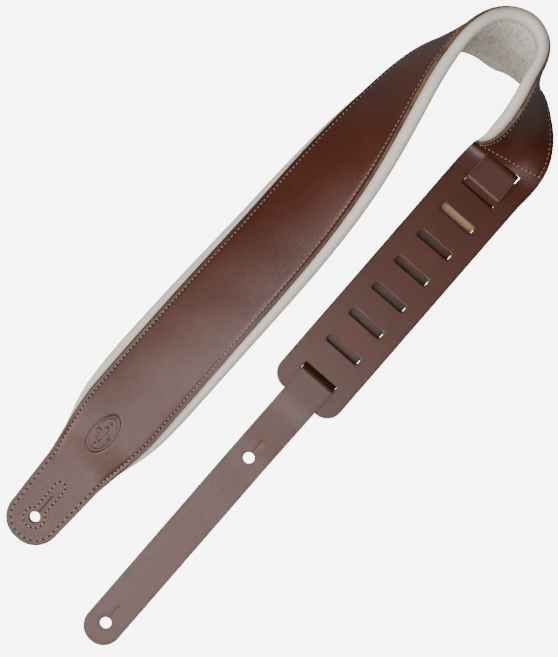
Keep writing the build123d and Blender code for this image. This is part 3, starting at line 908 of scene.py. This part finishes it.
class STRAP_OT_tail(bpy.types.Operator):
    """Cuts the tail with its pin holes and slit end, and threads it through the ladder"""

    bl_idname = "strap.tail"
    bl_label = "Tail"

    def execute(self, context):
        sizes, colours = context.scene.strap_sizes, context.scene.strap_colours
        run, end, crossing = tail_run(sizes)
        wide = sizes.tail_width / 2
        along = np.arange(0.018, end - 0.004, 0.002)
        bulge = np.clip(1 - ((along - crossing) / 0.020) ** 2, 0, None) ** 0.5 * (wide + 0.0063)
        half = np.maximum(wide, bulge)
        outline = filleted([(-wide, 0.0165), (-wide, 0), (wide, 0), (wide, 0.0165)],
                           [0, TAIL_CORNER, TAIL_CORNER, 0])
        outline += [np.array(p) for p in zip(half, along)]
        outline += filleted([(wide, end - 0.0035), (wide, end - 0.0002), (-wide, end - 0.0002),
                             (-wide, end - 0.0035)], [0, 0.003, 0.003, 0])
        outline += [np.array(p) for p in zip(-half[::-1], along[::-1])]
        first = -TAIL_TIP_Y
        holes = [pin_hole(first, TAIL_HOLE, TAIL_SLIT_LENGTH),
                 pin_hole(first + TAIL_HOLE_SPACING, TAIL_HOLE, TAIL_SLIT_LENGTH),
                 filleted([(-wide - 0.0003, crossing - 0.006), (wide + 0.0003, crossing - 0.006),
                           (wide + 0.0003, crossing + 0.006), (-wide - 0.0003, crossing + 0.006)],
                          [0.001] * 4, 0.0003)]
        bends = [ENTRY_SLOT_Y, TOP_SLOT_Y - SLOT_PITCH, TOP_SLOT_Y + 0.001]
        s_lines = [value for value in np.arange(0.0011, end, 0.0005)
                   if any(abs(np.interp(value, run.s, run.points[:, 1]) - y) < 0.010 for y in bends)
                   and value < crossing - 0.02]
        s_lines = sorted(set(s_lines) | {round(float(v), 6) for v in np.arange(0.0013, end, 0.0025)})
        sides = np.array([0.004, 0.008, 0.012, 0.0145, 0.0155, 0.0205])
        w_lines = np.concatenate([-sides[::-1], [0.0], sides])
        thick = sizes.tail_leather / 2

        def shape(w, s, n):
            return wander(w * 40, s * 45, 2.0) * 0.00008 * (n > 0)

        piece, w, *_ = cut_leather("tail_cut", run, outline, holes, -thick, thick, sizes.edge_round,
                                   s_lines, w_lines, shape)
        note_on_points(piece, "stamp", w * 0)
        tail = grain_material("tail_grain", colours.tail, [c * 0.72 for c in colours.tail], 0.40)
        flesh = strap_leathers(colours)[1]
        raw = cut_edge_material("raw_edge", [c * 0.45 for c in colours.flesh], colours.flesh)
        dressed(piece, tail, flesh, raw)
        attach(piece, TAIL_BODY)
        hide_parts("tail_strap")
        return {"FINISHED"}


# ---- Padding -------------------------------------------------------------------------------
def padding_mesh(name, run, sizes, skin, start, end, step):
    """Closed padding: rolled rims outside the edge seams, and a crease at each seam behind."""
    s = np.linspace(start, end, int((end - start) / step) + 1)
    full = fullness(run, s)
    thick = sizes.pinched + (sizes.pad - sizes.pinched) * full
    half = run.read(run.half, s)
    radius = thick / 2
    rim = half - SEAT + sizes.rim * full - radius
    seam = half - sizes.inset
    back = -SEAT - thick
    bending = np.clip((run.read(run.turning, s) - 4) / 18, 0, 1)
    pucker = 0.5 + 0.5 * np.cos(2 * np.pi * s / sizes.pitch)
    rows_w, rows_n, rows_crease_shade = [], [], []

    def put(w, n, crease=0.0):
        rows_w.append(w)
        rows_n.append(n)
        rows_crease_shade.append(crease + w * 0)

    for share in np.linspace(0, 0.86, 9):
        w = share * seam
        put(w, back - 0.0003 * full * (1 - share**2))
    for offset in (-0.0036, -0.0024, -0.0014, -0.0006, 0.0, 0.0007, 0.0016, 0.0026):
        dip = math.exp(-((offset / 0.0015) ** 2))
        puckers = math.exp(-((offset / 0.0032) ** 2)) * 0.0016 * (pucker - 0.5) * (0.3 + bending)
        at = seam + offset
        outside = np.clip(at - rim, 0, None) if offset > 0 else at * 0
        round_off = radius - np.sqrt(np.clip(radius**2 - np.minimum(outside, radius) ** 2, 0, None))
        # painted shade: the seam's dip also goes into the crease attribute, which darkens the lining there
        put(at, back + full * (sizes.crease * dip + puckers) + round_off, dip)
    for degrees in np.linspace(-78, 96, 17):
        a = math.radians(degrees)
        ripple = 0.00022 * full * (pucker - 0.5) * math.exp(-((abs(degrees) - 90) / 40) ** 2)
        clear = seam + 0.0032 * (1 + degrees / 300) * (degrees < 0)
        w = np.maximum(rim + (radius + ripple) * math.cos(a), clear)
        proud = 0.0005 * full * (degrees > 0)
        put(w, -SEAT - radius + (radius + proud + ripple * (degrees > 0)) * math.sin(a))
    for reach in (0.0, 0.0016, 0.004, sizes.tuck):
        put(half - 0.0006 - reach, -SEAT + 0 * s)
    put(half * 0.35, -SEAT + 0 * s)
    w = np.array(rows_w)
    n = np.array(rows_n)
    crease = np.array(rows_crease_shade)
    w = np.concatenate([w, -w[::-1][:-1]])
    n = np.concatenate([n, n[::-1][:-1]])
    crease = np.concatenate([crease, crease[::-1][:-1]])
    count = len(w)
    behind = np.clip(-(n + SEAT + radius) / radius, 0, 1)
    across = np.clip(1 - np.abs(w) / rim, 0, 1) ** 0.5
    slanted = s * 1300 + wander(w * 110, s * 60, 3.0) * 3.0
    folds = np.abs(wander(slanted, w * 90, 4.0)) ** 0.6
    folds += 0.5 * np.abs(wander(slanted * 1.9, w * 160, 6.0)) ** 0.6
    folded = behind * bending * across
    n = n + folded * (0.75 - folds) * 0.0034
    # painted shade: the crease attribute darkens the fold valleys and, less, the whole inside of the U-turn
    crease = crease + folded * (0.3 + 0.8 * np.exp(-((folds / 0.42) ** 2)))
    crease = np.clip(crease, 0, 1)
    n = n - behind * across * full * wander(w * 120, s * 110, 5.0) * 0.00022
    n = n + swell(run, sizes, w, np.broadcast_to(s, w.shape)) * (np.abs(w) < half)
    if skin:
        middle_n = -SEAT - radius
        n = middle_n + (n - middle_n) * (1 - skin / radius)
        w = w * (1 - skin / (rim + radius))
    points = run.bent(w, np.broadcast_to(s, w.shape), n)
    points = points.transpose(1, 0, 2).reshape(-1, 3)
    faces = []
    for k in range(len(s) - 1):
        for j in range(count):
            a, b = k * count + j, k * count + (j + 1) % count
            faces.append((a, b, b + count, a + count))
    faces.append(tuple(range(count - 1, -1, -1)))
    faces.append(tuple(range((len(s) - 1) * count, len(s) * count)))
    mesh = bpy.data.meshes.new(name)
    mesh.from_pydata(points.tolist(), [], faces)
    mesh.update()
    piece = bpy.data.objects.new(name, mesh)
    bpy.context.scene.collection.objects.link(piece)
    bm = bmesh.new()
    bm.from_mesh(mesh)
    bmesh.ops.recalc_face_normals(bm, faces=bm.faces[:])
    for face in bm.faces:
        face.smooth = True
    bm.to_mesh(mesh)
    bm.free()
    # the crease attribute carries painted shade for the lining material
    note_on_points(piece, "crease", crease.T.ravel())
    return piece


class STRAP_OT_padding(bpy.types.Operator):
    """Makes the lining with its rolled rims, creases and wrinkles, and the foam inside it"""

    bl_idname = "strap.padding"
    bl_label = "Lined Padding"

    def execute(self, context):
        sizes, colours = context.scene.strap_sizes, context.scene.strap_colours
        run = strap_run(sizes)
        start, end = run.where(PAD_START), run.where(PAD_END)
        lining = padding_mesh("lining_padded", run, sizes, 0.0, start, end, sizes.pitch / 4)
        dressed(lining, lining_material("garment_leather", colours.lining))
        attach(lining, STRAP_BODY)
        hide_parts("lining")
        foam = padding_mesh("foam_filling", run, sizes, 0.0011, run.where(PAD_START + 0.7),
                            run.where(PAD_END - 0.7), 0.004)
        dressed(foam, foam_material("open_cell_foam", colours.foam))
        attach(foam, STRAP_BODY)
        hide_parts("foam_core")
        return {"FINISHED"}


# ---- Seams ---------------------------------------------------------------------------------
HEAD_PITCH = 0.0052
KEYHOLE_PITCH = 0.0042
KEYHOLE_STEM = 0.0045  # half the width of the keyhole's stem
KEYHOLE_RADIUS = 0.0087
KEYHOLE_TOP = 0.036  # from the hole's centre


def stitch_shape(sizes):
    """One stitch, and a flat disc of painted shade standing for the needle hole at its end, about the middle
    of the stitch.
    """
    long, thick = sizes.pitch * 0.68, sizes.thread
    verts, faces = [], []
    end, shoulder = (-0.45, 0.35), (0.05, 0.85)
    rings = ((-0.5, *end), (-0.36, *shoulder), (0.0, 0.22, 1.0), (0.36, *shoulder), (0.5, *end))
    for share, rise, size in rings:
        for k in range(6):
            a = math.tau * k / 6
            verts.append((share * long, math.cos(a) * thick / 2 * size,
                          rise * thick + math.sin(a) * thick / 2.4 * size))
    for ring in range(len(rings) - 1):
        for k in range(6):
            a, b = ring * 6 + k, ring * 6 + (k + 1) % 6
            faces.append((a, b, b + 6, a + 6))
    faces.append(tuple(range(5, -1, -1)))
    faces.append(tuple(range(24, 30)))
    holes = [0] * len(faces)
    # painted shade: a flat disc marked as the needle hole, which gets the dark needle-hole material
    first = len(verts)
    for k in range(8):
        a = math.tau * k / 8
        verts.append((sizes.pitch / 2 + 0.00105 * math.cos(a), 0.00085 * math.sin(a), 0.0))
    faces.append(tuple(range(first, first + 8)))
    holes.append(1)
    mesh = bpy.data.meshes.new("stitch_shape")
    mesh.from_pydata(verts, [], faces)
    mesh.attributes.new("needle_hole", "FLOAT", "FACE").data.foreach_set("value", holes)
    bm = bmesh.new()
    bm.from_mesh(mesh)
    bmesh.ops.recalc_face_normals(bm, faces=[f for f in bm.faces if len(f.verts) < 8])
    for face in bm.faces:
        face.smooth = True
        if len(face.verts) == 8 and face.normal.z < 0:
            face.normal_flip()
    bm.to_mesh(mesh)
    bm.free()
    shape = bpy.data.objects.new("stitch_shape", mesh)
    bpy.context.scene.collection.objects.link(shape)
    return shape


def seam_tree():
    """Geometry nodes that sew stitches along a line, each standing on the grain."""
    name = "sewn_seam"
    if name in bpy.data.node_groups:
        return bpy.data.node_groups[name]
    tree = bpy.data.node_groups.new(name, "GeometryNodeTree")
    for label, kind in (("Line", "NodeSocketGeometry"), ("Pitch", "NodeSocketFloat"),
                        ("Stitch", "NodeSocketObject"), ("Unevenness", "NodeSocketFloat"),
                        ("Seed", "NodeSocketInt"), ("Thread", "NodeSocketMaterial"),
                        ("Needle Hole Shade", "NodeSocketMaterial")):
        tree.interface.new_socket(label, in_out="INPUT", socket_type=kind)
    tree.interface.new_socket("Seam", in_out="OUTPUT", socket_type="NodeSocketGeometry")
    given = tree.nodes.new("NodeGroupInput").outputs
    out = tree.nodes.new("NodeGroupOutput").inputs
    curve = add(tree, "GeometryNodeMeshToCurve", None, Mesh=given["Line"])
    spaced = add(tree, "GeometryNodeResampleCurve", None, Curve=curve.outputs[0])
    spaced.mode = "LENGTH"
    tree.links.new(given["Pitch"], spaced.inputs["Length"])
    grain = tree.nodes.new("GeometryNodeInputNamedAttribute")
    grain.data_type = "FLOAT_VECTOR"
    grain.inputs["Name"].default_value = "grain_side"
    facing = tree.nodes.new("FunctionNodeAxesToRotation")
    facing.primary_axis, facing.secondary_axis = "Z", "X"
    tree.links.new(grain.outputs[0], facing.inputs[0])
    tree.links.new(tree.nodes.new("GeometryNodeInputTangent").outputs[0], facing.inputs[1])
    shape = add(tree, "GeometryNodeObjectInfo", None, Object=given["Stitch"])
    low = sums(tree, "SUBTRACT", 1.0, given["Unevenness"])
    uneven = add(tree, "FunctionNodeRandomValue", {"data_type": "FLOAT"})
    tree.links.new(low, uneven.inputs[2])
    uneven.inputs[3].default_value = 1.0
    tree.links.new(given["Seed"], uneven.inputs["Seed"])
    sewn = add(tree, "GeometryNodeInstanceOnPoints", None, Points=spaced.outputs[0],
               Instance=shape.outputs["Geometry"], Rotation=facing.outputs[0])
    tree.links.new(uneven.outputs[1], sewn.inputs["Scale"])
    real = add(tree, "GeometryNodeRealizeInstances", None, Geometry=sewn.outputs[0])
    threaded = add(tree, "GeometryNodeSetMaterial", None, Geometry=real.outputs[0], Material=given["Thread"])
    # painted shade: the needle-hole discs get the dark needle-hole material
    hole = tree.nodes.new("GeometryNodeInputNamedAttribute")
    hole.data_type = "FLOAT"
    hole.inputs["Name"].default_value = "needle_hole"
    is_hole = tree.nodes.new("FunctionNodeCompare")
    tree.links.new(hole.outputs[0], is_hole.inputs[0])
    is_hole.inputs[1].default_value = 0.5
    pierced = add(tree, "GeometryNodeSetMaterial", None, Geometry=threaded.outputs[0],
                  Selection=is_hole.outputs[0], Material=given["Needle Hole Shade"])
    tree.links.new(pierced.outputs[0], out["Seam"])
    return tree


def sew(name, node, points, facing, pitch, closed, seed, shape, colours):
    """Sews one seam along these points, and stands it for its node in the frame."""
    mesh = bpy.data.meshes.new(name)
    count = len(points)
    edges = [(k, k + 1) for k in range(count - 1)] + ([(count - 1, 0)] if closed else [])
    mesh.from_pydata(points.tolist(), edges, [])
    mesh.attributes.new("grain_side", "FLOAT_VECTOR", "POINT").data.foreach_set("vector", facing.ravel())
    line = bpy.data.objects.new(name + "_line", mesh)
    bpy.context.scene.collection.objects.link(line)
    tree = seam_tree()
    modifier = line.modifiers.new("Seam", "NODES")
    modifier.node_group = tree
    values = {
        "Pitch": pitch,
        "Stitch": shape,
        "Unevenness": 0.06,
        "Seed": seed,
        "Thread": thread_material("bonded_thread", colours.thread),
        # painted shade for the needle holes: the cut edge's colour darkened
        "Needle Hole Shade": needle_hole_shade_material("needle_hole", [c * 0.3 for c in colours.cut_edge]),
    }
    for item in tree.interface.items_tree:
        if item.in_out == "INPUT" and item.name in values:
            modifier[item.identifier] = values[item.name]
    depsgraph = bpy.context.evaluated_depsgraph_get()
    sewn = bpy.data.meshes.new_from_object(line.evaluated_get(depsgraph), depsgraph=depsgraph)
    if len(sewn.polygons) < 30:
        raise RuntimeError(f"{name} has no stitches")
    bpy.data.objects.remove(line)
    piece = bpy.data.objects.new(name, sewn)
    bpy.context.scene.collection.objects.link(piece)
    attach(piece, STRAP_BODY)
    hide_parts(node)
    return piece


class STRAP_OT_seams(bpy.types.Operator):
    """Sews the edge seams, the head tab's seams and the seam across the padding's end"""

    bl_idname = "strap.seams"
    bl_label = "Seams"

    def execute(self, context):
        sizes, colours = context.scene.strap_sizes, context.scene.strap_colours
        run = strap_run(sizes)
        shape = stitch_shape(sizes)
        above = sizes.leather + 0.00003

        def on_grain(line, lift=0.0):
            w, s = line[:, 0], line[:, 1]
            n = above + lift + swell(run, sizes, w, s)
            return run.bent(w, s, n), run.read(run.up, s)

        along = np.arange(HEAD_FLAT_S, run.where(CROSS_SEAM), 0.001)
        for name, side, seed in (("inner", 1, 1), ("outer", -1, 2)):
            line = np.stack([side * (run.read(run.half, along) - sizes.inset), along], axis=1)
            sew(f"{name}_edge_seam", f"{name}_edge_stitching", *on_grain(line, -0.0002), sizes.pitch, False,
                seed, shape, colours)
        side_s = np.arange(HEAD_HOLE_S + 0.001, HEAD_FLAT_S, 0.001)
        side_w = run.read(run.half, side_s) - sizes.inset
        tip = np.array(head_tip(sizes, sizes.inset))
        line = np.concatenate([np.stack([-side_w[::-1], side_s[::-1]], axis=1), tip,
                               np.stack([side_w, side_s], axis=1)])
        sew("head_end_seam", "head_end_stitching", *on_grain(line), HEAD_PITCH, False, 3, shape, colours)
        stem, radius = KEYHOLE_STEM, KEYHOLE_RADIUS
        start = math.acos(stem / radius)
        arch = HEAD_HOLE_S + KEYHOLE_TOP - stem
        keyhole = [(stem * math.cos(a), arch + stem * math.sin(a)) for a in np.linspace(0, math.pi, 13)]
        for k in range(49):
            a = math.pi - start + (math.pi + 2 * start) * k / 48
            keyhole.append((radius * math.cos(a), HEAD_HOLE_S + radius * math.sin(a)))
        sew("keyhole_seam", "keyhole_stitching", *on_grain(np.array(keyhole)), KEYHOLE_PITCH, True, 4, shape,
            colours)
        across = np.linspace(-1, 1, 60) * (float(run.read(run.half, run.where(CROSS_SEAM))) - sizes.inset)
        line = np.stack([across, across * 0 + run.where(CROSS_SEAM)], axis=1)
        sew("pad_end_seam", "pad_end_stitching", *on_grain(line), sizes.pitch, False, 5, shape, colours)
        bpy.data.objects.remove(shape)
        return {"FINISHED"}


# ---- Stage ---------------------------------------------------------------------------------
CAMERA_HEIGHT = 1.241
CAMERA_OVER = (-0.0504, 0.2736)
FRAME_HEIGHT = 0.536
ROLL_UP = (-0.655, 0.755, 0.0)
FLOOR_GLOW = 7.0  # strength of the floor's white, which only the camera sees
SKY = 0.06


def soft_light(name, place, aim, size, power):
    """Square soft light, aimed at a point."""
    data = bpy.data.lights.new(name, "AREA")
    data.shape = "RECTANGLE"
    data.size, data.size_y = size
    data.energy = power
    light = bpy.data.objects.new(name, data)
    light.location = place
    light.rotation_euler = (Vector(aim) - Vector(place)).to_track_quat("-Z", "Y").to_euler()
    bpy.context.scene.collection.objects.link(light)
    return light


class STRAP_OT_stage(bpy.types.Operator):
    """Puts down the floor and sets up the soft lights and the camera"""

    bl_idname = "strap.stage"
    bl_label = "Stage"

    def execute(self, context):
        colours = context.scene.strap_colours
        bm = bmesh.new()
        bmesh.ops.create_grid(bm, x_segments=8, y_segments=8, size=9.0)
        mesh = bpy.data.meshes.new("floor")
        bm.to_mesh(mesh)
        bm.free()
        mesh.transform(Matrix.Translation((CAMERA_OVER[0], CAMERA_OVER[1], -0.0003)))
        floor = bpy.data.objects.new("floor", mesh)
        context.scene.collection.objects.link(floor)
        material, tree, shader = new_material("studio_floor")
        place = add(tree, "ShaderNodeTexCoord").outputs["Object"]
        mottle = add(tree, "ShaderNodeTexNoise", None, Vector=place, Scale=6.0, Detail=2.0).outputs[0]
        tree.links.new(mixed(tree, mottle, [c * 0.985 for c in colours.floor], colours.floor),
                       shader.inputs["Base Color"])
        shader.inputs["Roughness"].default_value = 0.95
        shader.inputs["Specular IOR Level"].default_value = 0.1
        shader.inputs["Emission Color"].default_value = (1, 1, 1, 1)
        seen = add(tree, "ShaderNodeLightPath").outputs["Is Camera Ray"]
        tree.links.new(sums(tree, "MULTIPLY", seen, FLOOR_GLOW), shader.inputs["Emission Strength"])
        dressed(floor, material)
        world = context.scene.world or bpy.data.worlds.new("studio")
        context.scene.world = world
        world.use_nodes = True
        background = world.node_tree.nodes["Background"]
        background.inputs["Color"].default_value = (1.0, 1.0, 1.0, 1)
        background.inputs["Strength"].default_value = SKY
        middle = (CAMERA_OVER[0], CAMERA_OVER[1], 0.0)
        soft_light("key_light", (-0.8, -0.75, 1.2), middle, (1.1, 1.1), 30.0)
        soft_light("low_light", (0.0, -0.08, 1.4), (0.0, -0.08, 0.0), (0.42, 0.74), 9.0)
        soft_light("far_light", (0.9, -0.2, 1.3), middle, (0.8, 0.8), 7.0)
        data = bpy.data.cameras.new("camera")
        camera = bpy.data.objects.new("camera", data)
        context.scene.collection.objects.link(camera)
        data.sensor_fit = "VERTICAL"
        data.sensor_height = 24.0
        data.lens = 24.0 * CAMERA_HEIGHT / FRAME_HEIGHT
        data.clip_start, data.clip_end = 0.05, 20.0
        up = Vector(ROLL_UP).normalized()
        right = up.cross(Vector((0, 0, 1)))
        turned_to = Matrix((right, up, Vector((0, 0, 1)))).transposed().to_4x4()
        camera.matrix_world = Matrix.Translation((*CAMERA_OVER, CAMERA_HEIGHT)) @ turned_to
        context.scene.camera = camera
        return {"FINISHED"}


# ---- Sidebar -------------------------------------------------------------------------------
OPERATORS = (
    STRAP_OT_top_leather,
    STRAP_OT_head_backing,
    STRAP_OT_tail,
    STRAP_OT_padding,
    STRAP_OT_seams,
    STRAP_OT_stage,
)


class STRAP_PT_panel(bpy.types.Panel):
    """Sizes, colours and the steps that make the strap"""

    bl_idname = "STRAP_PT_panel"
    bl_label = "Padded Strap"
    bl_space_type = "VIEW_3D"
    bl_region_type = "UI"
    bl_category = "Strap"

    def draw(self, context):
        layout = self.layout
        for operator in OPERATORS:
            layout.operator(operator.bl_idname)
        for group in (context.scene.strap_sizes, context.scene.strap_colours):
            box = layout.box()
            for name in group.__annotations__:
                box.prop(group, name)


CLASSES = (StrapSizes, StrapColours, *OPERATORS, STRAP_PT_panel)


def register():
    for item in CLASSES:
        bpy.utils.register_class(item)
    bpy.types.Scene.strap_sizes = bpy.props.PointerProperty(type=StrapSizes)
    bpy.types.Scene.strap_colours = bpy.props.PointerProperty(type=StrapColours)


def unregister():
    del bpy.types.Scene.strap_colours
    del bpy.types.Scene.strap_sizes
    for item in reversed(CLASSES):
        bpy.utils.unregister_class(item)


def main():
    register()
    bpy.ops.strap.top_leather()
    bpy.ops.strap.head_backing()
    bpy.ops.strap.tail()
    bpy.ops.strap.padding()
    bpy.ops.strap.seams()
    bpy.ops.strap.stage()


if __name__ == "__main__":
    main()
